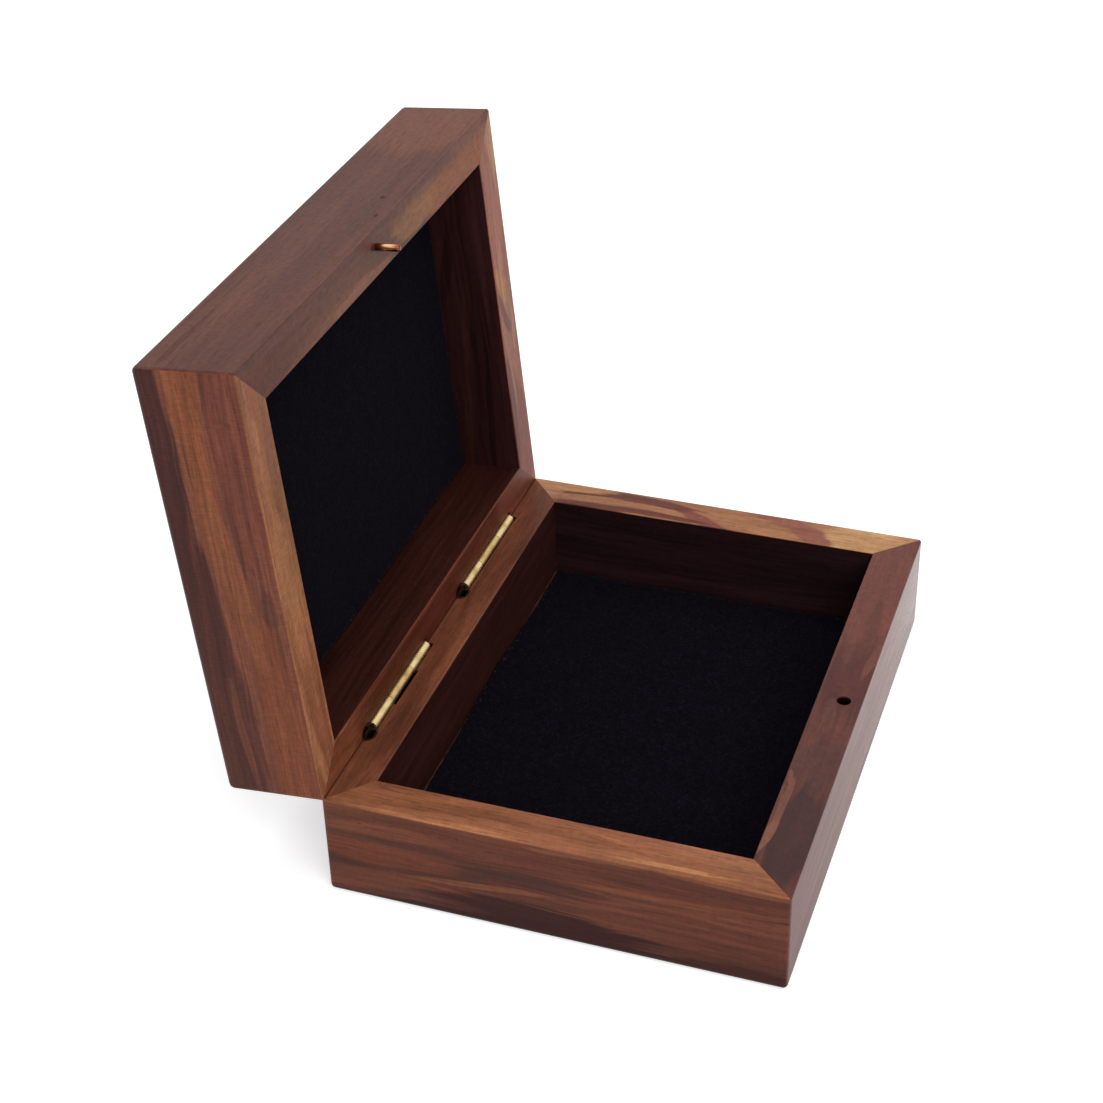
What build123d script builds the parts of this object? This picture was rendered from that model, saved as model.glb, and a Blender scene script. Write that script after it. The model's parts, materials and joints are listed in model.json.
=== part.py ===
from build123d import *
from dataclasses import dataclass
from math import radians, tan
import os

# A wooden playing card box with a hinged lid, standing open.
# X runs along the hinge, the front of the box faces -Y and Z is up.
# The origin is the centre of the base's underside. Sizes are in millimetres.

# Outside of the box
box_width = 117.4
box_depth = 88.0
base_height = 21.7
lid_height = 19.6

# Walls, mitred where they meet
end_wall = 8.3
front_wall = 8.9
hinge_wall = 7.7

# Rounding of the outside edges, and of the rims that meet when the box is shut
corner_round = 0.8
underside_round = 1.1
lid_top_round = 1.3
rim_round = 0.3

# Bottom and top panels, each let into a rebate round the inside of its walls
rebate_width = 3.0
base_panel_thickness = 3.2
lid_panel_thickness = 6.0
panel_gap = 0.1
panel_edge = 0.25

# Felt lining on the two panels
felt_thickness = 0.8
felt_gap = 0.25

# How far the lid opens, and the gap between the rims when it is shut
lid_open_angle = 95.0
rim_seam = 0.2
stop_gap = 0.01

# Two butt hinges, each with a leaf in a saw slot in either back wall
hinge_length = 27.4
left_hinge_from_end = 22.6
right_hinge_from_end = 18.2
pin_inset = 0.5
pin_radius = 0.5
pin_play = 0.03
leaf_thickness = 0.55
leaf_depth = 7.0
middle_knuckle = 10.2
knuckle_gap = 0.1
knuckle_clearance = 0.2

# The saw slot is wider, deeper and longer than the leaf, and opens into a wider pocket at its left end
slot_play = 0.25
slot_extra_depth = 0.2
slot_past_left_end = 3.2
slot_past_right_end = 1.4
pocket_width = 1.35
pocket_depth = 4.0

# One slot was cut wider still beside its middle knuckle
wide_slot_at = ("base", "left")
wide_slot_length = 11.6
wide_slot_extra_width = 0.45
wide_slot_depth = 3.0

# Nails through the back of the box that hold the leaves
nail_radius = 0.5
nail_head_radius = 0.95
nail_head_thickness = 0.4
nail_length = 6.0
nail_point = 0.35
nail_spacing = 16.0
nail_below_rim = 4.4

# The peg in the lid's front rim, a little left of the middle, and the play of its hole in the base
peg_offset = 1.5
peg_from_front = 3.6
peg_radius = 0.7
peg_length_out = 4.85
peg_length_in = 6.0
peg_tip_round = 0.55
peg_hole_play = 0.7
peg_hole_spare_depth = 1.8

# Places that follow from the sizes
pin_y = box_depth / 2 - pin_inset
pin_z = base_height + rim_seam / 2
knuckle_radius = pin_radius + leaf_thickness
leaf_middle = -knuckle_radius + leaf_thickness / 2
end_knuckle = (hinge_length - middle_knuckle) / 2 - knuckle_gap
cavity_length = box_width - 2 * end_wall
cavity_depth = box_depth - front_wall - hinge_wall
cavity_y = (front_wall - hinge_wall) / 2
hinge_places = {
    "left": left_hinge_from_end - (box_width - hinge_length) / 2,
    "right": (box_width - hinge_length) / 2 - right_hinge_from_end,
}

# Corners of the plan, anticlockwise from the front left one, outside and in the cavity
outer_corners = [
    (-box_width / 2, -box_depth / 2),
    (box_width / 2, -box_depth / 2),
    (box_width / 2, box_depth / 2),
    (-box_width / 2, box_depth / 2),
]
inner_corners = [
    (-cavity_length / 2, cavity_y - cavity_depth / 2),
    (cavity_length / 2, cavity_y - cavity_depth / 2),
    (cavity_length / 2, cavity_y + cavity_depth / 2),
    (-cavity_length / 2, cavity_y + cavity_depth / 2),
]


@dataclass
class Half:
    """The base or the lid, on a plane in the middle of its outside face.

    The plane's Z points to the rim and its Y to the hinge. turn is 1 where its
    X runs to the right of the box, and -1 where it runs to the left. Knuckles
    are given as the start and the length of each, along the hinge's barrel.
    """

    name: str
    plane: Plane
    turn: int
    walls: tuple
    height: float
    panel_thickness: float
    outer_round: float
    peg_bore_radius: float
    peg_bore_depth: float
    knuckles: tuple
    pin_bore_radius: float

    def across(self, x):
        """The plane square to the hinge pin at x: its X points out of the back, its Y to the rim."""
        origin = self.plane.from_local_coords((x, pin_y, self.height + rim_seam / 2))
        return Plane(origin=origin, x_dir=self.plane.y_dir, z_dir=self.plane.x_dir)

    def back_face(self):
        """The plane on the back of the half at the rim: its Z points into the wood, its Y to the rim."""
        origin = self.plane.from_local_coords((0, box_depth / 2, self.height))
        return Plane(origin=origin, x_dir=self.plane.x_dir, z_dir=-self.plane.y_dir)

    def peg_place(self):
        """Where the peg, or its hole, goes in the front rim."""
        return (-self.turn * peg_offset, peg_from_front - box_depth / 2)


# The lid is drawn shut, upside down over the base, and then swung back about the pin
lid_swing = Location((0, pin_y, pin_z), (-lid_open_angle, 0, 0))
lid_shut = Location((0, -pin_y, lid_height + rim_seam / 2), (0, 180, 0))

base = Half(
    name="base",
    plane=Plane.XY,
    turn=1,
    walls=("front", "right", "back", "left"),
    height=base_height,
    panel_thickness=base_panel_thickness,
    outer_round=underside_round,
    peg_bore_radius=peg_radius + peg_hole_play,
    peg_bore_depth=peg_length_out + peg_hole_spare_depth,
    knuckles=(
        (-hinge_length / 2, end_knuckle),
        (hinge_length / 2 - end_knuckle, end_knuckle),
    ),
    pin_bore_radius=pin_radius,
)
lid = Half(
    name="lid",
    plane=Plane(lid_swing * lid_shut),
    turn=-1,
    walls=("front", "left", "back", "right"),
    height=lid_height,
    panel_thickness=lid_panel_thickness,
    outer_round=lid_top_round,
    peg_bore_radius=peg_radius,
    peg_bore_depth=peg_length_in,
    knuckles=((-middle_knuckle / 2, middle_knuckle),),
    pin_bore_radius=pin_radius + pin_play,
)


def save(builder, name):
    """Name a finished piece and write it to its own file."""
    builder.part.label = name
    export_step(builder.part, f"parts/{name}.step")
    print(name, "volume", round(builder.part.volume, 2), "mm3")


def wall_ring(half):
    """All four walls of a half in one ring, with every slot and bore, before it is parted."""
    outward = Axis(half.plane.origin, half.plane.z_dir)
    slot_middle = (slot_past_right_end - slot_past_left_end) / 2
    slot_length = hinge_length + slot_past_left_end + slot_past_right_end
    slot_inner_side = -knuckle_radius - slot_play
    with BuildPart() as ring:
        with BuildSketch(half.plane):
            Rectangle(box_width, box_depth)
        extrude(amount=half.height)
        fillet(ring.edges().filter_by(outward), radius=corner_round)
        fillet(ring.faces().sort_by(outward)[0].edges(), radius=half.outer_round)
        fillet(ring.faces().sort_by(outward)[-1].edges(), radius=rim_round)

        # The cavity, and the rebate for the panel
        with BuildSketch(half.plane):
            with Locations((0, cavity_y)):
                Rectangle(cavity_length, cavity_depth)
        extrude(amount=half.height, mode=Mode.SUBTRACT)
        with BuildSketch(half.plane):
            with Locations((0, cavity_y)):
                Rectangle(cavity_length + 2 * rebate_width, cavity_depth + 2 * rebate_width)
        extrude(amount=half.panel_thickness, mode=Mode.SUBTRACT)

        # The bevel along the back rim that stops the open lid
        stop_run = pin_inset + knuckle_radius
        stop_drop = stop_gap + stop_run * tan(radians(lid_open_angle / 2))
        with BuildSketch(half.across(0)):
            with BuildLine():
                Polyline(
                    (0, -stop_gap),
                    (stop_run, -stop_drop),
                    (stop_run, knuckle_radius),
                    (0, knuckle_radius),
                    close=True,
                )
            make_face()
        extrude(amount=box_width, both=True, mode=Mode.SUBTRACT)

        # The saw slots for the leaves, the pockets at their left ends and the hollows for the knuckles
        for side, place in hinge_places.items():
            with BuildSketch(half.across(half.turn * (place + slot_middle))):
                with Locations((slot_inner_side, 0)):
                    Rectangle(
                        leaf_thickness + slot_play,
                        leaf_depth + slot_extra_depth,
                        align=(Align.MIN, Align.MAX),
                    )
            extrude(amount=slot_length / 2, both=True, mode=Mode.SUBTRACT)
            with BuildSketch(half.across(half.turn * (place - hinge_length / 2))):
                with Locations((slot_inner_side, 0)):
                    Rectangle(pocket_width, pocket_depth, align=(Align.MIN, Align.MAX))
            extrude(amount=-half.turn * slot_past_left_end, mode=Mode.SUBTRACT)
            if (half.name, side) == wide_slot_at:
                with BuildSketch(half.across(half.turn * place)):
                    with Locations((slot_inner_side, 0)):
                        Rectangle(wide_slot_extra_width, wide_slot_depth, align=(Align.MAX, Align.MAX))
                extrude(amount=wide_slot_length / 2, both=True, mode=Mode.SUBTRACT)
            with BuildSketch(half.across(half.turn * place)):
                Circle(knuckle_radius + knuckle_clearance)
            extrude(amount=hinge_length / 2 + knuckle_gap, both=True, mode=Mode.SUBTRACT)

        # Bores for the nails and their heads, and for the peg
        with BuildSketch(half.back_face()):
            with Locations(*nail_places(half)):
                Circle(nail_radius)
        extrude(amount=nail_length, mode=Mode.SUBTRACT)
        with BuildSketch(half.back_face()):
            with Locations(*nail_places(half)):
                Circle(nail_head_radius)
        extrude(amount=nail_head_thickness, mode=Mode.SUBTRACT)
        with BuildSketch(half.plane.offset(half.height)):
            with Locations(half.peg_place()):
                Circle(half.peg_bore_radius)
        extrude(amount=-half.peg_bore_depth, mode=Mode.SUBTRACT)
    return ring


def nail_places(half, sides=("left", "right")):
    """Where the nails of the named hinges go, on the half's back face."""
    return [
        (half.turn * hinge_places[side] + step * nail_spacing / 2, -nail_below_rim)
        for side in sides
        for step in (-1, 1)
    ]


def mitred_wall(half, ring, number):
    """One wall of a half: the piece of its ring between two mitres, with its inner rim softened."""
    after = (number + 1) % len(outer_corners)
    outward = Axis(half.plane.origin, half.plane.z_dir)
    rim_centre = half.plane.from_local_coords((0, cavity_y, half.height))
    with BuildPart() as wall:
        add(ring.part)
        with BuildSketch(half.plane):
            with BuildLine():
                Polyline(
                    outer_corners[number],
                    outer_corners[after],
                    inner_corners[after],
                    inner_corners[number],
                    close=True,
                )
            make_face()
        extrude(amount=half.height, mode=Mode.INTERSECT)
        rim = wall.faces().sort_by(outward)[-1]
        fillet(rim.edges().sort_by_distance(rim_centre)[0], radius=rim_round)
    return wall


def panel(half):
    """The board that closes a half, flush with the outside and fine-bevelled at its seam."""
    fit = 2 * (rebate_width - panel_gap)
    outward = Axis(half.plane.origin, half.plane.z_dir)
    with BuildPart() as board:
        with BuildSketch(half.plane):
            with Locations((0, cavity_y)):
                Rectangle(cavity_length + fit, cavity_depth + fit)
        extrude(amount=half.panel_thickness)
        chamfer(board.faces().sort_by(outward)[0].edges(), length=panel_edge)
    return board


def felt(half):
    """The felt glued to the inside of a half's panel."""
    with BuildPart() as lining:
        with BuildSketch(half.plane.offset(half.panel_thickness)):
            with Locations((0, cavity_y)):
                Rectangle(cavity_length - 2 * felt_gap, cavity_depth - 2 * felt_gap)
        extrude(amount=felt_thickness)
    return lining


def hinge_leaf(half, side):
    """A half's leaf of one hinge: a plate with its knuckles, cut back beside the other leaf's."""
    place = half.turn * hinge_places[side]
    cut_back = knuckle_radius + knuckle_clearance
    with BuildPart() as leaf:
        with BuildSketch(half.across(place)):
            with Locations((leaf_middle, -leaf_depth)):
                Rectangle(leaf_thickness, leaf_depth - cut_back, align=(Align.CENTER, Align.MIN))
        extrude(amount=hinge_length / 2, both=True)
        for start, length in half.knuckles:
            with BuildSketch(half.across(place + start)):
                Circle(knuckle_radius)
                with Locations((leaf_middle, 0)):
                    Rectangle(leaf_thickness, leaf_depth, align=(Align.CENTER, Align.MAX))
                Circle(half.pin_bore_radius, mode=Mode.SUBTRACT)
            extrude(amount=length)
        with BuildSketch(half.back_face()):
            with Locations(*nail_places(half, [side])):
                Circle(nail_radius)
        extrude(amount=hinge_wall, mode=Mode.SUBTRACT)
    return leaf


def hinge_pin(side):
    """The pin of one hinge, tight in the base leaf's knuckles and free in the lid leaf's."""
    with BuildPart() as pin:
        with BuildSketch(base.across(hinge_places[side])):
            Circle(pin_radius)
        extrude(amount=hinge_length / 2, both=True)
    return pin


def leaf_nails(half, side):
    """The two nails that hold a leaf, driven in flush from the back of the box."""
    inward = Axis(half.back_face().origin, half.back_face().z_dir)
    with BuildPart() as nails:
        with BuildSketch(half.back_face()):
            with Locations(*nail_places(half, [side])):
                Circle(nail_radius)
        extrude(amount=nail_length)
        chamfer(nails.faces().sort_by(inward)[-2:].edges(), length=nail_point)
        with BuildSketch(half.back_face()):
            with Locations(*nail_places(half, [side])):
                Circle(nail_head_radius)
        extrude(amount=nail_head_thickness)
    return nails


os.makedirs("parts", exist_ok=True)

for half in (base, lid):
    ring = wall_ring(half)
    for number, wall_name in enumerate(half.walls):
        save(mitred_wall(half, ring, number), f"{half.name}_{wall_name}_wall")
    for side in hinge_places:
        save(hinge_leaf(half, side), f"{side}_hinge_{half.name}_leaf")
        save(leaf_nails(half, side), f"{side}_hinge_{half.name}_nails")
    save(felt(half), f"{half.name}_felt")

save(panel(base), "base_bottom_panel")
save(panel(lid), "lid_top_panel")
for side in hinge_places:
    save(hinge_pin(side), f"{side}_hinge_pin")

# The peg is driven into the lid's front rim and drops into the base's hole when the box is shut
with BuildPart() as latch_peg:
    with BuildSketch(lid.plane.offset(lid.height - peg_length_in)):
        with Locations(lid.peg_place()):
            Circle(peg_radius)
    extrude(amount=peg_length_in + peg_length_out)
    peg_tip = latch_peg.faces().sort_by(Axis(lid.plane.origin, lid.plane.z_dir))[-1]
    fillet(peg_tip.edges(), radius=peg_tip_round)
save(latch_peg, "latch_peg")
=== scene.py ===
# %% [markdown]
# # A rosewood box for playing cards
# The box stands open: a base and a lid of the same plan, each a frame of four mitred walls with a panel let
# into it, joined by two small brass hinges. This script gives the pieces their finish and lays the felt.
# It starts by loading the box's solid parts, which stay where they are, and keeps the size of the whole.

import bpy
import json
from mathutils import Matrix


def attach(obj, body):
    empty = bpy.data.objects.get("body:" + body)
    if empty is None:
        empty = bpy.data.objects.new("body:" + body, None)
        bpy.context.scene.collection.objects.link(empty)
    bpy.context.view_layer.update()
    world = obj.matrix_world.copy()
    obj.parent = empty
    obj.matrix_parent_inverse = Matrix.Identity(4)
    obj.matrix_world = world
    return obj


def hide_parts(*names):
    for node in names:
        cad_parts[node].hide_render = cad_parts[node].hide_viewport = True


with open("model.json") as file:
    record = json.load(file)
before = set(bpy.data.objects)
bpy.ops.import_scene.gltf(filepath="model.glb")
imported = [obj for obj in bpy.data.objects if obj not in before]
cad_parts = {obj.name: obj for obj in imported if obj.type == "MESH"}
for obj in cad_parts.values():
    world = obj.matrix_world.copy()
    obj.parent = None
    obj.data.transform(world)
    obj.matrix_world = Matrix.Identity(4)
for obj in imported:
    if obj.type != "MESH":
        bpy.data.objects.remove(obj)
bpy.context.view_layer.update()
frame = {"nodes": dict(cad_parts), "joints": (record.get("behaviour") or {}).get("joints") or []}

# %% [markdown]
# ## Tools and units
# Blender and the box's frame are in metres. A small box is easier to think of in millimetres, so lengths
# below are millimetres unless they say otherwise, and MM turns them into metres.

# %% Tools of this lesson
import json
from dataclasses import dataclass, field
from math import cos, exp, radians, sin

import bmesh
import bpy
from mathutils import Euler, Matrix, Quaternion, Vector, noise

MM = 0.001
scene = bpy.context.scene
print("millimetres in a metre:", round(1 / MM))

# %% [markdown]
# ## Two helpers for materials
# Colours are written as a designer writes them, in sRGB hex, but a shader works in linear light, so one
# function turns the one into the other. A second function adds any node with its settings and its links,
# which keeps each material below short enough to read like a recipe.

# %% Colour and node helpers


def linear(hex_colour):
    """An sRGB hex colour as the linear colour that a shader takes."""
    parts = [int(hex_colour[place : place + 2], 16) / 255 for place in (1, 3, 5)]
    return [part / 12.92 if part <= 0.04045 else ((part + 0.055) / 1.055) ** 2.4 for part in parts] + [1]


def add(tree, kind, inputs, stops=(), **settings):
    """Add a node with its settings, its inputs as values or links, and a ramp's stops as (place, colour)."""
    made = tree.nodes.new("ShaderNode" + kind)
    for name, value in settings.items():
        setattr(made, name, value)
    for socket, value in inputs.items():
        if isinstance(value, bpy.types.NodeSocket):
            tree.links.new(value, made.inputs[socket])
        else:
            made.inputs[socket].default_value = value
    for number, (place, colour) in enumerate(stops):
        ramp = made.color_ramp.elements
        stop = ramp[number] if number < 2 else ramp.new(place)
        stop.position = place
        stop.color = linear(colour)
    return made


def new_material(name):
    """An empty material, and its node tree."""
    material = bpy.data.materials.new(name)
    material.use_nodes = True
    material.node_tree.nodes.clear()
    return material, material.node_tree


def finish_surface(tree, shader):
    """Show this shader on the surface."""
    add(tree, "OutputMaterial", {"Surface": shader.outputs[0]})


print("a mid brown in linear light:", [round(part, 3) for part in linear("#7a4a34")])

# %% [markdown]
# ## The camera
# The photograph looks down on the box's left end from above, with the camera rolled a little. Its place and
# direction were found once from the box's corners. The lens follows from the sensor's width, so the frame
# needs no shift.

# %% Set the camera
camera_place = Vector((-0.3260, -0.0993, 0.2738))
camera_azimuth = radians(70.04)
camera_elevation = radians(33.56)
camera_roll = radians(1.67)

camera = bpy.data.objects.new("camera", bpy.data.cameras.new("camera"))
camera.data.sensor_width = 36
camera.data.lens = 69.59
look = Vector(
    (
        cos(camera_elevation) * sin(camera_azimuth),
        cos(camera_elevation) * cos(camera_azimuth),
        -sin(camera_elevation),
    )
)
turn = Quaternion(look, camera_roll) @ look.to_track_quat("-Z", "Y")
camera.matrix_world = Matrix.LocRotScale(camera_place, turn, None)
camera.data.clip_start = 0.01
scene.collection.objects.link(camera)
scene.camera = camera
print("camera looks along", [round(part, 3) for part in look])

# %% [markdown]
# ## The table and the surroundings
# The box is shown on plain white. A white table would need hard light to turn pure white, and that light
# would bleach the wood. So the table adds a little light of its own, only for the camera and for what the
# brass reflects, and a little more of it far from the box. The box still drops its soft shadow on it.

# %% Table and surroundings
table_metres = 6.0


def seen_directly(tree):
    """1 for what the camera sees, also mirrored or through glass, and 0 for light that falls on things."""
    ray = add(tree, "LightPath", {}).outputs
    seen = add(tree, "Math", {0: ray["Is Camera Ray"], 1: ray["Is Glossy Ray"]}, operation="ADD")
    seen = add(tree, "Math", {0: seen.outputs[0], 1: ray["Is Transmission Ray"]}, operation="ADD")
    return seen.outputs[0]


table_mesh = bmesh.new()
bmesh.ops.create_grid(table_mesh, x_segments=1, y_segments=1, size=table_metres / 2)
table_data = bpy.data.meshes.new("table")
table_mesh.to_mesh(table_data)
table_mesh.free()
table = bpy.data.objects.new("table", table_data)
scene.collection.objects.link(table)

white_paper, tree = new_material("white_paper")
paper = add(tree, "BsdfDiffuse", {"Color": linear("#ebebeb")})
spot = add(tree, "TexCoord", {}).outputs["Object"]
from_box = add(tree, "VectorMath", {0: spot}, operation="LENGTH").outputs["Value"]
brighter_outwards = {"Value": from_box, "From Min": 0.25, "From Max": 0.9, "To Min": 0.52, "To Max": 0.72}
strength = add(tree, "MapRange", brighter_outwards).outputs[0]
glow = add(tree, "Emission", {"Color": linear("#ffffff"), "Strength": strength})
lit = add(tree, "AddShader", {0: paper.outputs[0], 1: glow.outputs[0]})
paper_or_lit = {0: seen_directly(tree), 1: paper.outputs[0], 2: lit.outputs[0]}
finish_surface(tree, add(tree, "MixShader", paper_or_lit))
table_data.materials.append(white_paper)

surroundings = bpy.data.worlds.new("surroundings")
surroundings.use_nodes = True
tree = surroundings.node_tree
tree.nodes.clear()
grey_or_white = {0: seen_directly(tree), 6: linear("#aeb0b3"), 7: linear("#ffffff")}
shade = add(tree, "Mix", grey_or_white, data_type="RGBA")
sky = add(tree, "Background", {"Color": shade.outputs[2], "Strength": 1.0})
add(tree, "OutputWorld", {"Surface": sky.outputs[0]})
scene.world = surroundings
scene.view_settings.view_transform = "Standard"
print("table:", table_metres, "metres wide, world:", scene.world.name)

# %% [markdown]
# ## The lamps
# The photograph was lit by large soft lights, which leave no hard edge in a shadow. A broad square lamp at
# the left lights the faces that look at the camera, and a weaker one overhead fills the inside of the box.

# %% Lamps


def soft_lamp(name, place, size, power):
    """A square lamp that faces the box. Its place and size are in metres, its power in watts."""
    lamp = bpy.data.objects.new(name, bpy.data.lights.new(name, "AREA"))
    lamp.data.shape = "SQUARE"
    lamp.data.size = size
    lamp.data.energy = power
    place = Vector(place)
    lamp.matrix_world = Matrix.LocRotScale(place, (-place).to_track_quat("-Z", "Y"), None)
    scene.collection.objects.link(lamp)
    return lamp


key_lamp = soft_lamp("key_lamp", (-0.9, -0.7, 1.1), 0.9, 10.5)
top_lamp = soft_lamp("top_lamp", (0.2, 0.1, 1.5), 1.2, 7)
print("lamps:", key_lamp.data.energy, "and", top_lamp.data.energy, "watts")

# %% [markdown]
# ## The wood's own coordinates
# Each wall was cut from a board, and its figure runs along the board whichever way the wall stands. So each
# board gets its own coordinates in millimetres: *along* the grain from the middle of the board, *in* from
# its outer face, and *up* from the outside of the box to the rim. A Mapping node turns Object coordinates
# into these. The lid is measured shut, where its walls lie square to the axes, and then swung back open.

# %% Measure the boards
hinge = frame["joints"][0]
pin = Vector(hinge["pos_m"])
shut_turn = Matrix.Rotation(radians(hinge["range_deg"][0]), 4, Vector(hinge["axis"]))
swing_shut = Matrix.Translation(pin) @ shut_turn @ Matrix.Translation(-pin)
swings = {"base": Matrix.Identity(4), "lid": swing_shut.inverted()}
up_when_shut = {"base": Vector((0, 0, 1)), "lid": Vector((0, 0, -1))}
inward_of = {
    "left": Vector((1, 0, 0)),
    "right": Vector((-1, 0, 0)),
    "front": Vector((0, 1, 0)),
    "back": Vector((0, -1, 0)),
}


@dataclass
class Board:
    """Where a board's own coordinates start and turn, and its size along, in and up, in millimetres."""

    start: Vector
    turn: Euler
    size: Vector

    def matrix(self):
        """From the board's millimetres to the frame."""
        return Matrix.LocRotScale(self.start, self.turn, (MM, MM, MM))


def board_of(node, half, inward):
    """Measure a node with the box shut, and give its board."""
    unswing = swings[half].inverted()
    corners = [unswing @ vertex.co for vertex in frame["nodes"][node].data.vertices]
    low = Vector([min(corner[axis] for corner in corners) for axis in range(3)])
    high = Vector([max(corner[axis] for corner in corners) for axis in range(3)])
    up = up_when_shut[half]
    along = inward.cross(up)
    axes = Matrix((along, inward, up))
    size = Vector([abs(part) for part in axes @ (high - low)])
    start = (low + high) / 2 - inward * size.y / 2 - up * size.z / 2
    turn = (swings[half].to_3x3() @ axes.transposed()).to_euler()
    return Board(swings[half] @ start, turn, size / MM)


def on_board(tree, board):
    """Object coordinates turned into a board's own, in millimetres."""
    spot = add(tree, "TexCoord", {}).outputs["Object"]
    settings = {"Vector": spot, "Location": board.start, "Rotation": board.turn, "Scale": (MM, MM, MM)}
    return add(tree, "Mapping", settings, vector_type="TEXTURE").outputs[0]


boards = {
    f"{half}_{side}_wall": board_of(f"{half}_{side}_wall", half, inward)
    for half in swings
    for side, inward in inward_of.items()
}
boards["base_bottom_panel"] = board_of("base_bottom_panel", "base", inward_of["front"])
boards["lid_top_panel"] = board_of("lid_top_panel", "lid", inward_of["front"])
for name, board in boards.items():
    print(name, "along, in, up:", [round(part, 2) for part in board.size])

# %% [markdown]
# ## The figure of Indian rosewood
# Sheesham, or Indian rosewood, has golden to purple-brown heartwood with dark streaks of uneven width, short
# open pores and a low satin gloss. A scan of real veneer would show it, but would slide off an edge from one
# face to the next. A solid pattern doesn't: here the distance from the tree's pith, pushed about by soft
# noise, gives the streaks, so a streak that leaves a face goes on round the edge, as it does in real wood.
# Patches then paint what noise can't know: where this box's own light and dark streaks lie. A few of them
# are painted shade and painted sheen instead.


# %% A board's look in a few settings
@dataclass
class Patch:
    """A soft-ended streak: its middle and half size along and across, its colour, and its tilt in degrees."""

    along: float
    across: float
    half_length: float
    half_width: float
    colour: str
    strength: float = 0.8
    tilt: float = 0


@dataclass
class Figure:
    """A board's look.

    outer and rim hold the dark, middle and light tones of those faces, and inside the stain. Patches follow
    the figure and marks don't. pith is where the tree's middle lay, in and up. ripple, mottle and streak are
    the strengths of three fine patterns. polish is the specular level, and roughness goes from one end of
    the board to the other. seam is how dark the joint is, and turnover how far the outer face's figure runs
    on over the rim.
    """

    outer: tuple
    rim: tuple
    inside: str
    pith: tuple = (-30, -60)
    outer_patches: list = field(default_factory=list)
    rim_patches: list = field(default_factory=list)
    outer_marks: list = field(default_factory=list)
    rim_marks: list = field(default_factory=list)
    inside_patches: list = field(default_factory=list)
    ripple: float = 0.12
    mottle: float = 0.2
    streak: float = 0.6
    polish: float = 0.12
    roughness: tuple = (0.43, 0.43)
    seam: float = 0
    turnover: float = 0


print("a figure has", len(Figure.__dataclass_fields__), "settings")

# %% [markdown]
# ## Noise along the grain
# Every pattern in wood is drawn out along the board. Noise gets that look from a Mapping node that squeezes
# the long way before the noise is read. The helpers here draw such noise, push coordinates about with it, and
# turn it into tones, soft steps and shading.

# %% Streaks, tones and soft steps
tone_places = (0.34, 0.5, 0.64)


def streaks(tree, spot, along, across, detail, seed):
    """Noise drawn out along the grain: its features are this long and this wide, in millimetres."""
    squeeze = {"Vector": spot, "Location": (seed, seed, seed), "Scale": (1 / along, 1 / across, 1 / across)}
    drawn = add(tree, "Mapping", squeeze).outputs[0]
    return add(tree, "TexNoise", {"Vector": drawn, "Scale": 1.0, "Detail": detail})


def shift(tree, spot, wander, reach):
    """Push a spot about by the colour of a noise, by at most half of reach in millimetres each way."""
    half = (0.5, 0.5, 0.5)
    about_zero = add(tree, "VectorMath", {0: wander.outputs["Color"], 1: half}, operation="SUBTRACT")
    push = {0: about_zero.outputs[0], 1: reach, 2: spot}
    return add(tree, "VectorMath", push, operation="MULTIPLY_ADD").outputs[0]


def tones(tree, pattern, colours):
    """Dark, middle and light wood laid out by a noise."""
    stops = list(zip(tone_places, colours))
    return add(tree, "ValToRGB", {0: pattern}, stops=stops).outputs["Color"]


def between(tree, value, none, full):
    """0 where the value is at none, 1 where it is at full, and smooth between."""
    reach = {"Value": value, "From Min": none, "From Max": full}
    return add(tree, "MapRange", reach, interpolation_type="SMOOTHSTEP").outputs[0]


def where_all(tree, first, *others):
    """Shares from 0 to 1 multiplied: full only where each of them is."""
    share = first
    for other in others:
        share = add(tree, "Math", {0: share, 1: other}, operation="MULTIPLY").outputs[0]
    return share


def shade_by(tree, colour, pattern, strength):
    """Darken and lighten a colour by a pattern that is even around a half."""
    shaded = add(tree, "Mix", {0: strength, 6: colour, 7: pattern}, data_type="RGBA", blend_type="OVERLAY")
    return shaded.outputs[2]


print("dark, middle and light wood sit at", tone_places, "of the noise")

# %% [markdown]
# ## Patches over the figure
# A patch is a soft ellipse on a face, endless in the third direction. Its edge is torn by the same fine
# streaks as the wood, so that it looks grown and not sprayed on. It is a distance from its middle, measured
# after a Mapping node has moved, turned and shrunk the board to the patch's size.

# %% Paint patches
far = 1e6
patch_edge = 1.1
patch_core = 0.72
outer_face = 2
rim_face = 1


def paint(tree, colour, patches, spot, feather, face):
    """Lay the patches over a colour. On the outer face their width is up, and on the rim it is in."""
    for patch in patches:
        middle = [patch.along, 0, 0]
        reach = [patch.half_length, far, far]
        tilt = [0, 0, 0]
        middle[face] = patch.across
        reach[face] = patch.half_width
        tilt[3 - face] = radians(patch.tilt) * (1 if face == rim_face else -1)
        local = {"Vector": spot, "Location": middle, "Rotation": tilt, "Scale": reach}
        shrunk = add(tree, "Mapping", local, vector_type="TEXTURE").outputs[0]
        away = add(tree, "VectorMath", {0: shrunk}, operation="LENGTH").outputs["Value"]
        torn = add(tree, "Math", {0: away, 1: feather}, operation="ADD").outputs[0]
        share = {"Value": torn, "From Min": patch_edge, "From Max": patch_core, "To Max": patch.strength}
        cover = add(tree, "MapRange", share, interpolation_type="SMOOTHSTEP").outputs[0]
        mixed = add(tree, "Mix", {0: cover, 6: colour, 7: linear(patch.colour)}, data_type="RGBA")
        colour = mixed.outputs[2]
    return colour


print("a patch fades out between", patch_core, "and", patch_edge, "of its half size")

# %% [markdown]
# ## How the wood grew
# The streaks lie at even distances from the pith, as the rings do, and wander a little. So the noise isn't
# read at a place on the board but at its distance from the pith, and that place is swayed first. One record
# holds the coordinates and noises that every later step of a material uses.

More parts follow.
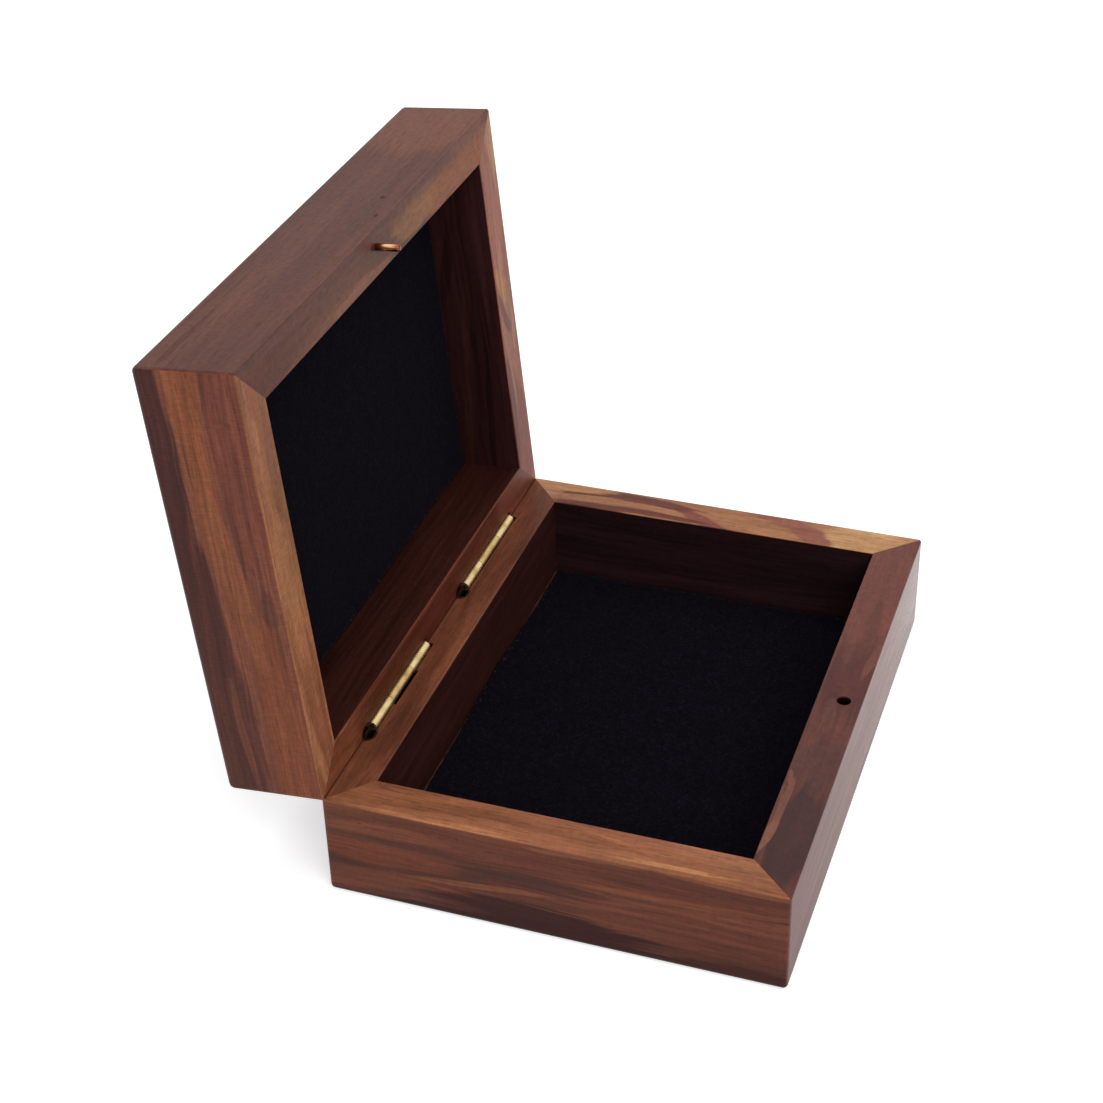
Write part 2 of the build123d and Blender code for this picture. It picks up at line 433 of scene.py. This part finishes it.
# %% The grain of one board
@dataclass
class Grain:
    """A board, and the sockets of its coordinates and of the noises that its material is made from."""

    board: Board
    flat: object
    along: object
    inward: object
    up: object
    swayed: object
    broad: object
    fine: object
    hairs: object
    feather: object


def grain_of(tree, board, pith, seed):
    """The grain of a board that was sawn with the pith at this place, in and up from its corner."""
    flat = on_board(tree, board)
    part = add(tree, "SeparateXYZ", {0: flat}).outputs
    sway = streaks(tree, flat, 34, 12, 2, seed)
    swayed = shift(tree, flat, sway, (12, 3.4, 3.4))
    pith_line = {"Vector": swayed, "Location": (0, *pith), "Scale": (far, 1, 1)}
    from_pith = add(tree, "Mapping", pith_line, vector_type="TEXTURE").outputs[0]
    radius = add(tree, "VectorMath", {0: from_pith}, operation="LENGTH").outputs["Value"]
    swayed_along = add(tree, "SeparateXYZ", {0: swayed}).outputs[0]
    grown = add(tree, "CombineXYZ", {0: swayed_along, 1: radius}).outputs[0]
    fine = streaks(tree, grown, 26, 0.9, 3, seed + 5).outputs[0]
    return Grain(
        board=board,
        flat=flat,
        along=part[0],
        inward=part[1],
        up=part[2],
        swayed=swayed,
        broad=streaks(tree, grown, 75, 4.2, 3, seed + 3).outputs[0],
        fine=fine,
        hairs=streaks(tree, flat, 9, 0.4, 2, seed + 7).outputs[0],
        feather=add(tree, "Math", {0: fine, 1: 1.1, 2: -0.55}, operation="MULTIPLY_ADD").outputs[0],
    )


print("a grain holds", len(Grain.__dataclass_fields__), "things")

# %% [markdown]
# ## The faces, the stain and the cuts
# The outer face and the rim show bare oiled wood, and each has its own tones, because light and wear differ.
# The inside was stained nearly black before the felt went in, and the stain stops at the rim's rounded edge.
# Dust and old oil darken the joint of the two halves. Saw slots, pockets and holes are raw wood in deep
# Painted shade darkens the joint of the two halves, where the gap between them lies in shadow. Saw slots,
# pockets and holes are raw wood in deep shade. Each of these is told apart by how far in and how far up the
# spot lies.

# %% Colour the faces, the inside and the cuts
rim_round = 0.3
# The colour of the painted shade where the two halves meet
joint_shade = linear("#160a07")
dark_cut = linear("#120806")


def faces(tree, grain, figure):
    """The colour of the outer face and the rim, and the share that lies on the rim."""
    height = grain.board.size.z
    outer = tones(tree, grain.broad, figure.outer)
    outer = paint(tree, outer, figure.outer_patches, grain.swayed, grain.feather, outer_face)
    outer = paint(tree, outer, figure.outer_marks, grain.flat, 0, outer_face)
    rim = tones(tree, grain.broad, figure.rim)
    rim = paint(tree, rim, figure.rim_patches, grain.swayed, grain.feather, rim_face)
    rim = paint(tree, rim, figure.rim_marks, grain.flat, 0, rim_face)
    on_rim = between(tree, grain.up, height - rim_round, height - 0.05)
    rim_share = on_rim
    if figure.turnover:
        rim_share = where_all(tree, on_rim, between(tree, grain.inward, 0, figure.turnover))
    colour = add(tree, "Mix", {0: rim_share, 6: outer, 7: rim}, data_type="RGBA").outputs[2]
    return colour, on_rim


def stain_inside(tree, colour, grain, figure):
    """Lay the dark stain over the inner face, up to the rounded edge of the rim."""
    thickness, height = grain.board.size.yz
    inner = between(tree, grain.inward, thickness - 0.5, thickness - rim_round)
    below = between(tree, grain.up, height - 0.05, height - rim_round)
    stain = shade_by(tree, linear(figure.inside), grain.broad, 0.95)
    stain = paint(tree, stain, figure.inside_patches, grain.swayed, grain.feather, outer_face)
    share = where_all(tree, inner, below)
    return add(tree, "Mix", {0: share, 6: colour, 7: stain}, data_type="RGBA").outputs[2]


def shade_joint(tree, colour, grain, on_rim, seam):
    """Paint shade on the rim's outer edge, where the two halves meet and the gap between them lies in shadow.
    """
    share = where_all(tree, between(tree, grain.inward, 0.75, 0.35), on_rim, seam)
    return add(tree, "Mix", {0: share, 6: colour, 7: joint_shade}, data_type="RGBA").outputs[2]


def darken_cuts(tree, colour, grain):
    """Darken what lies within the wood: the walls of slots, pockets and holes, and the mitred ends."""
    thickness, height = grain.board.size.yz
    beyond_outer = between(tree, grain.inward, 0.25, 0.37)
    short_of_inner = between(tree, grain.inward, thickness - 0.35, thickness - 0.7)
    under_rim = between(tree, grain.up, height - 0.12, height - 0.4)
    above_foot = between(tree, grain.up, 1.0, 1.6)
    share = where_all(tree, beyond_outer, short_of_inner, under_rim, above_foot)
    return add(tree, "Mix", {0: share, 6: colour, 7: dark_cut}, data_type="RGBA").outputs[2]


print("the stain stops", rim_round, "mm under the rim")

# %% [markdown]
# ## Fibres, pores and gloss
# Close up, sheesham shows fine streaks, pale fibres, short dark pores and a faint ripple across the grain.
# Rubbed with oil and not varnished, it has a low satin gloss that is uneven with the streaks, and the open
# pores and fibres leave a relief of a few hundredths of a millimetre.

# %% Oiled rosewood
gloss_swing = 0.22
ripple_length = 0.3636
ripple_width = 2.222
pore_depth = 0.06
pore_brown = linear("#2a1510")


def draw_fibres(tree, colour, grain, figure):
    """Shade a colour by clouds a millimetre wide, fine streaks, fibres and a ripple across the grain."""
    ripple = streaks(tree, grain.flat, ripple_length, ripple_width, 1, 0).outputs[0]
    mottle = add(tree, "TexNoise", {"Vector": grain.flat, "Scale": 0.9, "Detail": 3}).outputs[0]
    colour = shade_by(tree, colour, mottle, figure.mottle)
    colour = shade_by(tree, colour, grain.fine, figure.streak)
    colour = shade_by(tree, colour, grain.hairs, figure.streak * 0.65)
    return shade_by(tree, colour, ripple, figure.ripple)


def rosewood(name, board, figure, seed):
    """Oiled Indian rosewood, planed and sanded: satin, with open pores and streaks along the board."""
    material, tree = new_material(name + "_oiled_rosewood")
    grain = grain_of(tree, board, figure.pith, seed)
    colour, on_rim = faces(tree, grain, figure)
    colour = stain_inside(tree, colour, grain, figure)
    colour = shade_joint(tree, colour, grain, on_rim, figure.seam)
    colour = darken_cuts(tree, colour, grain)
    colour = draw_fibres(tree, colour, grain, figure)

    # Open pores are finer than this on the real wood, and are drawn as wide as the picture can show
    pore_noise = streaks(tree, grain.flat, 3.2, 0.26, 0, seed + 9).outputs[0]
    pores = between(tree, pore_noise, 0.66, 0.76)
    share = where_all(tree, pores, 0.35)
    colour = add(tree, "Mix", {0: share, 6: colour, 7: pore_brown}, data_type="RGBA").outputs[2]

    relief = add(tree, "Math", {0: grain.hairs, 1: pores}, operation="SUBTRACT").outputs[0]
    bump = add(tree, "Bump", {"Height": relief, "Strength": 0.35, "Distance": pore_depth * MM})
    ends = {
        "Value": grain.along,
        "From Min": -board.size.x / 2,
        "From Max": board.size.x / 2,
        "To Min": figure.roughness[0] - gloss_swing / 2,
        "To Max": figure.roughness[1] - gloss_swing / 2,
    }
    rubbed = add(tree, "MapRange", ends).outputs[0]
    gloss = add(tree, "Math", {0: grain.fine, 1: gloss_swing, 2: rubbed}, operation="MULTIPLY_ADD").outputs[0]
    surface = {
        "Base Color": colour,
        "Roughness": gloss,
        "Specular IOR Level": figure.polish,
        "Normal": bump.outputs[0],
    }
    finish_surface(tree, add(tree, "BsdfPrincipled", surface))
    return material


print("pores are", pore_depth, "mm deep")

# %% [markdown]
# ## The base's four walls
# Each wall has its own piece of wood. The tones below were matched one wall at a time, and each patch is
# a streak that the real box shows, placed in millimetres from the middle of its wall, unless a comment calls
# it painted shade or painted sheen. Along grows to the right on the front wall, to the back on the right one,
# and so on round the box, seen from above.

# %% Figures of the base's walls
figures = {}
figures["base_left_wall"] = Figure(
    outer=("#4c2a1f", "#603527", "#73402e"),
    rim=("#84502f", "#955c40", "#a86d4c"),
    inside="#43241f",
    outer_patches=[
        Patch(10, 18.5, 50, 3.2, "#623326", 0.65),
        Patch(30, 9, 20, 5, "#633426", 0.7),
        Patch(24, 15.4, 24, 0.8, "#80492f", 0.6, 3),
        Patch(20, 13.2, 20, 0.5, "#7b462f", 0.5, 3),
        Patch(-34, 11.2, 16, 3, "#793e28", 0.6),
        Patch(-3, 12.4, 17, 1.6, "#4a2922", 0.85),
        Patch(-14, 8.6, 15, 0.8, "#8a5236", 0.6, 5),
        Patch(-32, 17.5, 14, 1.8, "#7a472f", 0.6),
        Patch(-4, 3.3, 24, 4.5, "#341310", 0.93),
        Patch(-30, 2, 16, 2.2, "#56322a", 0.6),
        Patch(0, 0.2, 60, 1.7, "#341511", 0.9),
        Patch(36, 1.4, 14, 1.9, "#3c1a13", 0.9),
        Patch(6, 21.5, 13, 0.7, "#87523a", 0.6, 1),
        Patch(33, 21.4, 12, 0.8, "#8f5b3f", 0.55, -1),
    ],
    rim_patches=[
        Patch(-38, 4, 7, 8, "#885339", 0.8),
        Patch(-22, 0.9, 18, 0.8, "#b57a52", 0.55),
        Patch(22, 1.4, 12, 0.7, "#ba8154", 0.65, 3),
        Patch(8, 4.8, 13, 0.8, "#80492f", 0.5, -12),
        Patch(-26, 5.4, 8, 2, "#83502f", 0.45, 14),
        Patch(30, 6, 10, 1.6, "#a26b48", 0.6),
    ],
)
figures["base_front_wall"] = Figure(
    outer=("#60362f", "#6c3f36", "#77463b"),
    rim=("#4c241d", "#5a2c23", "#6a3729"),
    inside="#371c17",
    polish=0.22,
    roughness=(0.43, 0.26),
    mottle=0.4,
    streak=0.35,
    # These two broad patches are painted sheen: the near end darker and redder, the far end lighter and lilac
    outer_patches=[
        Patch(-48, 10, 34, 40, "#5f3029", 0.6),
        Patch(50, 10, 36, 40, "#7d4f46", 0.4),
    ],
    rim_patches=[
        Patch(8, 4, 17, 6, "#4c1d17", 0.85),
        Patch(40, 5, 24, 7, "#70382b", 0.75),
        Patch(-23, 4, 9, 6, "#4a2923", 0.6),
        Patch(-43, 3.2, 15, 5, "#381b1b", 0.9),
        Patch(-38, 8.5, 8, 0.7, "#6e4033", 0.7),
        Patch(-44, 7.9, 5.5, 0.9, "#8a5642", 0.8, -8),
        Patch(-35, 7.2, 6.5, 0.8, "#7d4b3a", 0.8, -2),
        Patch(-28.6, 7.8, 2.8, 0.6, "#7a4838", 0.8, 14),
        Patch(-6, 5, 5, 1.4, "#80523f", 0.25, 8),
        Patch(14, 1.4, 7, 1.3, "#8f5a48", 0.28, -4),
        Patch(19, 6.4, 8, 1.1, "#7d4c3c", 0.25, 5),
        Patch(26, 3.4, 9, 1.3, "#452019", 0.35, -4),
    ],
)
figures["base_right_wall"] = Figure(
    outer=("#5c3228", "#754130", "#8a5239"),
    rim=("#966044", "#a77250", "#b9855c"),
    inside="#2a1719",
    rim_patches=[
        Patch(-33, 4, 9, 8, "#c69767", 0.85),
        Patch(-22, 5.4, 7, 2.9, "#93584a", 0.95, -32),
        Patch(-14, 1.8, 7, 1.8, "#8f5649", 0.8, -6),
        Patch(-14, 6.8, 6, 1.6, "#b07c52", 0.6),
        Patch(-3.5, 3.2, 6, 1.8, "#aa7650", 0.6, -22),
        Patch(1.5, 6.2, 9, 1.9, "#7d4637", 0.9, -28),
        Patch(14, 2.6, 13, 1.7, "#6b3832", 0.92, -2),
        Patch(18, 7.4, 20, 1.2, "#643129", 0.9),
        Patch(16, 5, 13, 0.9, "#a26d4c", 0.8, -2),
        Patch(35, 1.8, 11, 1.7, "#c79262", 0.8, 3),
        Patch(33, 3.9, 10, 0.4, "#673830", 0.85, 4),
        Patch(41, 5, 5, 9, "#c08a66", 0.6),
    ],
)
figures["base_back_wall"] = Figure(
    outer=("#572f23", "#703e2a", "#834c33"),
    rim=("#603322", "#6e3d29", "#7e4a32"),
    inside="#381c19",
    seam=0.95,
    rim_patches=[Patch(53, 4, 8, 6, "#7c4831", 0.6), Patch(37, 5, 8, 4, "#5e3322", 0.6)],
    # Both rim marks are painted shade in the hinge pockets
    rim_marks=[Patch(38.2, 0.8, 2.4, 1.7, "#0c0403", 1.0), Patch(-11, 0.8, 2.4, 1.7, "#0c0403", 1.0)],
)

print("walls of the base:", len(figures))

# %% [markdown]
# ## The lid's four walls
# The lid's boards are measured shut, with their rims down on the base's, so along grows the other way
# round. The left wall shows the widest bands, dark brown toward the lid's top and orange brown toward the
# rim. On the front wall the face's figure runs on over the rim, because the saw cut both from one streak.

# %% Figures of the lid's walls
figures["lid_left_wall"] = Figure(
    outer=("#60362a", "#744332", "#834d37"),
    rim=("#85502f", "#96603f", "#a66b4b"),
    inside="#3a1e1c",
    ripple=0.3,
    outer_patches=[
        Patch(-26, 15.6, 26, 4.4, "#733f32", 0.75),
        Patch(30, 15, 30, 4.4, "#7d442c", 0.85),
        Patch(-32, 8.4, 30, 3.2, "#874e32", 0.95, 1),
        Patch(-3, 11, 20, 2.4, "#8b5136", 0.85, 8),
        Patch(-32, 0.9, 34, 4.9, "#43221f", 0.95),
        Patch(0, 2.6, 22, 5.2, "#46231e", 0.92, 7),
        Patch(28, 3.6, 28, 6.6, "#4d2922", 0.9),
        Patch(30, 6.2, 13, 0.8, "#76452f", 0.6),
        Patch(-14, 13.2, 10, 0.7, "#532f26", 0.6),
        Patch(1, 17, 4, 2.2, "#57322a", 0.6),
        Patch(14, 17.6, 9, 0.7, "#66392a", 0.5),
    ],
    rim_patches=[
        Patch(-25, 2.2, 20, 1.5, "#a66b4a", 0.7),
        Patch(-24, 6.4, 19, 1.5, "#7b4a37", 0.55),
        Patch(-38, 4.2, 8, 2.4, "#8a5036", 0.65),
        Patch(-4, 4.4, 10, 5, "#a8724e", 0.75),
        Patch(26, 5, 20, 3.2, "#8b553b", 0.6),
        Patch(24, 1, 18, 0.9, "#aa7050", 0.6),
        Patch(39, 2.4, 6, 1.2, "#b57a55", 0.7, 4),
    ],
)
figures["lid_front_wall"] = Figure(
    outer=("#57352d", "#623d34", "#6c4539"),
    rim=("#593629", "#664031", "#744a38"),
    inside="#2c1613",
    polish=0.08,
    mottle=0.35,
    streak=0.28,
    turnover=5.0,
    outer_patches=[
        Patch(-48, 10, 17, 13, "#7a4b3a", 0.75),
        Patch(6, 9, 34, 8, "#5f3d36", 0.5),
        Patch(48, 4.6, 13, 0.9, "#502c26", 0.7),
        Patch(24, 9, 24, 1, "#744a3e", 0.35),
    ],
    outer_marks=[
        Patch(-12.5, 15.5, 0.7, 0.55, "#2a120f", 0.95),
        Patch(-4.2, 17.6, 0.9, 0.4, "#34170f", 0.9),
        # Painted sheen: a pale line along the edge to the rim
        Patch(-22, 19.42, 60, 0.18, "#7d5c52", 0.45),
    ],
    # The first rim mark is painted shade around the peg's foot
    rim_marks=[Patch(2.4, 3.3, 1.5, 0.8, "#2a110b", 0.9, -15), Patch(45, 0.1, 13, 0.5, "#33160f", 0.6)],
    rim_patches=[
        Patch(-40, 4.6, 21, 6, "#93583a", 0.85),
        Patch(-17, 4.4, 10, 3.4, "#96633f", 0.75),
        Patch(-9, 2.2, 4, 1.2, "#7b5036", 0.6),
        Patch(10, 7.8, 14, 1.8, "#8a5843", 0.8),
        Patch(16, 4, 10, 3, "#6e4532", 0.5),
        Patch(46, 4.4, 13, 4, "#5f3529", 0.6),
        Patch(40, 2.8, 12, 0.7, "#4a2c25", 0.55),
    ],
)
figures["lid_right_wall"] = Figure(
    outer=("#5a3126", "#723f2d", "#874f38"),
    rim=("#8c5848", "#995f4c", "#a66d58"),
    inside="#321819",
    inside_patches=[
        Patch(-28, 9, 16, 1.3, "#3d2018", 0.6, 4),
        Patch(-2, 11.5, 13, 1.0, "#3a1d17", 0.6, 9),
        Patch(-20, 14.5, 18, 0.8, "#1b0c0c", 0.7, 3),
        Patch(14, 9.5, 12, 1.2, "#1c0d0d", 0.6, 12),
        Patch(26, 12.5, 12, 1.4, "#351b17", 0.5, 8),
    ],
    rim_patches=[
        Patch(-22, 7.6, 15, 1.5, "#653a30", 0.85),
        Patch(-31, 3.4, 16, 4, "#824236", 0.75),
        Patch(-4, 1.6, 7, 1.1, "#b38660", 0.6),
        Patch(0.5, 5.6, 7, 1.6, "#6f4235", 0.85, 20),
        Patch(7.5, 4.8, 6, 2.6, "#b07b4c", 0.7, 35),
        Patch(24, 5, 13, 4.5, "#93584a", 0.6),
        Patch(36, 1.7, 8, 1.7, "#b8885f", 0.8),
    ],
)
figures["lid_back_wall"] = Figure(
    outer=("#522b21", "#6b3b2b", "#804933"),
    rim=("#421a11", "#502217", "#602c1d"),
    inside="#361812",
    seam=0.95,
    rim_patches=[
        Patch(-53, 4, 20, 9, "#824a30", 0.85),
        Patch(-30, 4, 12, 9, "#5d2f1b", 0.5),
        Patch(52, 4, 16, 9, "#7d4433", 0.8),
        Patch(0, 7.5, 70, 0.6, "#7b4029", 0.6),
    ],
    # Both rim marks are painted shade in the hinge pockets
    rim_marks=[Patch(-38.2, 0.8, 2.4, 1.7, "#0c0403", 1.0), Patch(11, 0.8, 2.4, 1.7, "#0c0403", 1.0)],
)

print("walls of both halves:", len(figures))

# %% [markdown]
# ## The two panels
# The panel under the base and the one in the lid are wider boards, sawn nearer the outside of the log. With
# the pith close under the face, the same pattern opens into the tall arches of plain-sawn wood. Each board
# then gets its own seed, so that no two show the same streaks.

# %% Figures of the panels, and the finish of all the wood
seed_step = 11.3
panel_tones = ("#542d24", "#6f3f2d", "#8a5239")
for name in ("base_bottom_panel", "lid_top_panel"):
    figures[name] = Figure(
        outer=panel_tones,
        rim=panel_tones,
        inside="#543331",
        pith=(boards[name].size.y * 0.55, -26),
    )
for seed, (name, figure) in enumerate(figures.items()):
    node = frame["nodes"][name]
    node.material_slots[0].material = rosewood(name, boards[name], figure, seed_step * seed)
print("boards finished:", len(figures))

# %% [markdown]
# ## Brass
# The hinges were stamped and rolled from brass sheet, and the pins, nails and peg were drawn as wire. Both
# come bright from the works and turn duller and browner with handling. So the metal keeps one pale gold, its
# gloss varies with faint smudges, and fine lines run lengthwise. The lid's leaves are a little browner than
# the base's. Painted shade darkens the base's leaves where they sit in their slots, and the peg at its foot;
# the peg is also painted darker towards its tip.

# %% Make the brass
brass_gloss_swing = 0.3
smudge_size = 3.846
brass_line_depth = 0.02


def brass(name, tone, dull_tone, roughness, line_size, darkened=None):
    """Bright brass with smudges, and fine lines of this size along each axis, in millimetres.

    The last argument holds a dark tone, a board, and pairs of heights on it: the brass is bright at the first
    of a pair and dark from the second on. It paints shade on the leaves in their slots and at the peg's foot,
    and darkens the peg's tip.
    """
    material, tree = new_material(name)
    spot = add(tree, "TexCoord", {}).outputs["Object"]
    smudge = add(tree, "TexNoise", {"Vector": spot, "Scale": 1 / (smudge_size * MM), "Detail": 3}).outputs[0]
    squeeze = [1 / (size * MM) for size in line_size]
    lines_at = add(tree, "Mapping", {"Vector": spot, "Scale": squeeze}).outputs[0]
    lines = add(tree, "TexNoise", {"Vector": lines_at, "Scale": 1.0, "Detail": 1}).outputs[0]
    dull = between(tree, smudge, 0.45, 0.72)
    mixed = add(tree, "Mix", {0: dull, 6: linear(tone), 7: linear(dull_tone)}, data_type="RGBA")
    if darkened:
        brown, board, fades = darkened
        height = add(tree, "SeparateXYZ", {0: on_board(tree, board)}).outputs[2]
        for bright_at, brown_at in fades:
            darker_share = between(tree, height, bright_at, brown_at)
            mixed = add(tree, "Mix", {0: darker_share, 6: mixed.outputs[2], 7: linear(brown)}, data_type="RGBA")
    uneven = {0: smudge, 1: brass_gloss_swing, 2: roughness - brass_gloss_swing / 2}
    gloss = add(tree, "Math", uneven, operation="MULTIPLY_ADD").outputs[0]
    bump = add(tree, "Bump", {"Height": lines, "Strength": 0.3, "Distance": brass_line_depth * MM})
    surface = {
        "Base Color": mixed.outputs[2],
        "Metallic": 1.0,
        "Roughness": gloss,
        "Normal": bump.outputs[0],
    }
    finish_surface(tree, add(tree, "BsdfPrincipled", surface))
    return material


sheet_lines = (2.5, 0.2, 0.2)
wire_lines = (0.3333, 2, 0.3333)
base_back = boards["base_back_wall"]
# Painted shade on the base's leaves below the rim, where they sit in their slots
slot_shade = ("#2e1a10", base_back, [(base_back.size.z - 0.4, base_back.size.z - 0.9)])
lid_front = boards["lid_front_wall"]
lid_rim = lid_front.size.z
# Painted shade at the peg's foot, and the peg painted darker towards its tip
peg_dark_ends = ("#7a4424", lid_front, [(lid_rim + 2.1, lid_rim + 0.8), (lid_rim + 3.4, lid_rim + 4.6)])

rolled_brass = brass("rolled_brass_sheet", "#e6cc98", "#bf9f69", 0.38, sheet_lines, slot_shade)
browned_brass = brass("browned_brass_sheet", "#cfb078", "#a07c48", 0.38, sheet_lines)
drawn_brass = brass("drawn_brass_wire", "#d6a472", "#93633e", 0.24, wire_lines)
peg_brass = brass("brass_wire_dark_ends", "#e2b183", "#a0693f", 0.22, wire_lines, peg_dark_ends)
brass_of = {
    "_base_leaf": rolled_brass,
    "_lid_leaf": browned_brass,
    "_pin": drawn_brass,
    "_nails": drawn_brass,
    "_peg": peg_brass,
}
brass_count = 0
for name, node in frame["nodes"].items():
    for ending, material in brass_of.items():
        if name.endswith(ending):
            node.material_slots[0].material = material
            brass_count += 1
print("brass on", brass_count, "parts")

# %% [markdown]
# ## The two felts
# Each felt was cut by hand from wool felt, a little small, and glued down. Felt is fibre pressed together
# without a weave, so it has no threads: it shows as a soft, light-swallowing black with a thick rounded edge
# that isn't quite straight. Real fibres would need millions of hairs at this size. A grid of small faces
# that swells, shrinks and curls does the same for the outline, and a fine noise does it for the surface.

# %% Lay the felts
felt_cell = 0.8
felt_edge_round = 0.35
edge_fray = 0.16
fray_reach = 3
gap_reach = 12
curl_reach = 5
felt_boards = {f"{half}_felt": board_of(f"{half}_felt", half, inward_of["front"]) for half in swings}


@dataclass
class LooseSpot:
    """A stretch of a felt's back edge: its middle and reach along, how far it falls short, and its lift."""

    middle: float
    reach: float
    gap: float
    lift: float

    def share(self, along):
        """1 in the middle of the stretch, fading to 0 beyond its reach."""
        return exp(-(((along - self.middle) / self.reach) ** 2))


def wave(along, across, width, seed):
    """Smooth noise between -1 and 1, with features this wide."""
    return noise.noise(Vector((along / width, across / width, seed)))


def side_of(place, low, high):
    """-1 before low, 1 after high and 0 between them."""
    return -1 if place < low else 1 if place > high else 0


def lay_felt(name, half, loose_spots, seed):
    """Replace a felt's plain solid by a soft sheet with a frayed, rounded edge."""
    board = felt_boards[name]
    length, width, thick = board.size
    columns = round(length / felt_cell)
    rows = round(width / felt_cell)
    mesh = bmesh.new()
    bmesh.ops.create_grid(mesh, x_segments=columns, y_segments=rows, size=0.5)
    under = list(mesh.faces)
    over = bmesh.ops.extrude_face_region(mesh, geom=under, use_keep_orig=True)["geom"]
    top = {piece for piece in over if isinstance(piece, bmesh.types.BMVert)}
    for vertex in mesh.verts:
        along = vertex.co.x * length
        across = (vertex.co.y + 0.5) * width
        from_back = width - across
        from_edge = min(length / 2 - abs(along), across, from_back)
        gap = sum(spot.gap * spot.share(along) for spot in loose_spots)
        lift = sum(spot.lift * spot.share(along) for spot in loose_spots)
        height = lift * max(0, 1 - from_back / curl_reach) ** 2
        if vertex in top:
            swell = 0.07 * wave(along, across, 6, seed + 5) + 0.03 * wave(along, across, 1.3, seed + 9)
            rounded = felt_edge_round * max(0, 1 - from_edge / felt_cell) ** 2
            height += thick + swell - rounded
        frayed = edge_fray * (1 + wave(along, across, 1.7, seed))
        pull = frayed * max(0, 1 - from_edge / fray_reach)
        pull_across = pull * side_of(across, fray_reach, width - fray_reach)
        across -= pull_across + gap * max(0, 1 - from_back / gap_reach)
        along -= pull * side_of(along, fray_reach - length / 2, length / 2 - fray_reach)
        vertex.co = board.matrix() @ Vector((along, across, height))
    bmesh.ops.recalc_face_normals(mesh, faces=mesh.faces)
    for face in mesh.faces:
        face.smooth = True
    data = bpy.data.meshes.new(name + "_cloth")
    mesh.to_mesh(data)
    mesh.free()
    piece = bpy.data.objects.new(name + "_cloth", data)
    scene.collection.objects.link(piece)
    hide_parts(name)
    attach(piece, half)
    return piece


base_loose = [LooseSpot(-48, 12, 1.3, 0.2), LooseSpot(8, 16, 0.1, 1.2)]
lid_loose = [LooseSpot(10, 20, 0.1, 0.5)]
base_cloth = lay_felt("base_felt", "base", base_loose, 3)
lid_cloth = lay_felt("lid_felt", "lid", lid_loose, 8)
print("felt faces:", len(base_cloth.data.polygons), len(lid_cloth.data.polygons))

# %% [markdown]
# ## The felts' surface
# Wool felt swallows light: it has no gloss, and only a faint sheen where the nap is seen from the side. Dyed
# black, it still isn't one black, because fibres lie every way and the dye takes unevenly. Real wool fibres
# are a few hundredths of a millimetre thick and wouldn't show here, so they are drawn over half a millimetre
# wide. Cut fibre and dust gather along the edges, where a wall meets the felt, and more of it in the lid.

# %% Make the felts' surface
dust_band = 1.6
nap_depth = 0.15


def black_felt(name, seed, dust_over):
    """Black wool felt, dull all over, with dust along its edges where a noise is over dust_over."""
    material, tree = new_material(name + "_black_wool")
    board = felt_boards[name]
    half_length, half_width = board.size.x / 2, board.size.y / 2
    flat = on_board(tree, board)
    clouds = add(tree, "TexNoise", {"Vector": flat, "Scale": 0.25, "Detail": 2})
    fibres = add(tree, "TexNoise", {"Vector": flat, "Scale": 1.6, "Detail": 4, "Distortion": 1.5})
    pile = add(tree, "Mix", {0: 0.9, 6: clouds.outputs[1], 7: fibres.outputs[1]}, data_type="RGBA")
    blacks = [(0.36, "#040307"), (0.5, "#0a080e"), (0.64, "#17141d")]
    shade = add(tree, "ValToRGB", {0: pile.outputs[2]}, stops=blacks).outputs[0]

    # The dusty band is the last part before an edge, along or across
    part = add(tree, "SeparateXYZ", {0: flat}).outputs
    out_along = add(tree, "Math", {0: part[0]}, operation="ABSOLUTE").outputs[0]
    out_across = add(tree, "Math", {0: part[1], 1: half_width}, operation="SUBTRACT").outputs[0]
    out_across = add(tree, "Math", {0: out_across}, operation="ABSOLUTE").outputs[0]
    near_end = between(tree, out_along, half_length - dust_band, half_length)
    near_side = between(tree, out_across, half_width - dust_band, half_width)
    edge = add(tree, "Math", {0: near_end, 1: near_side}, operation="MAXIMUM").outputs[0]
    dust_at = add(tree, "Mapping", {"Vector": flat, "Location": (seed, seed, seed)}).outputs[0]
    specks = add(tree, "TexNoise", {"Vector": dust_at, "Scale": 1.3, "Detail": 1}).outputs[0]
    dust = where_all(tree, between(tree, specks, dust_over, dust_over + 0.05), edge)
    colour = add(tree, "Mix", {0: dust, 6: shade, 7: linear("#5c4a40")}, data_type="RGBA").outputs[2]

    nap = add(tree, "Bump", {"Height": fibres.outputs[0], "Strength": 0.7, "Distance": nap_depth * MM})
    surface = {
        "Base Color": colour,
        "Roughness": 1.0,
        "Specular IOR Level": 0.02,
        "Sheen Weight": 0.04,
        "Sheen Roughness": 0.6,
        "Sheen Tint": linear("#8f8a98"),
        "Normal": nap.outputs[0],
    }
    finish_surface(tree, add(tree, "BsdfPrincipled", surface))
    return material


base_cloth.data.materials.append(black_felt("base_felt", 2.0, 0.67))
lid_cloth.data.materials.append(black_felt("lid_felt", 7.0, 0.6))
print("felt materials:", base_cloth.data.materials[0].name, lid_cloth.data.materials[0].name)
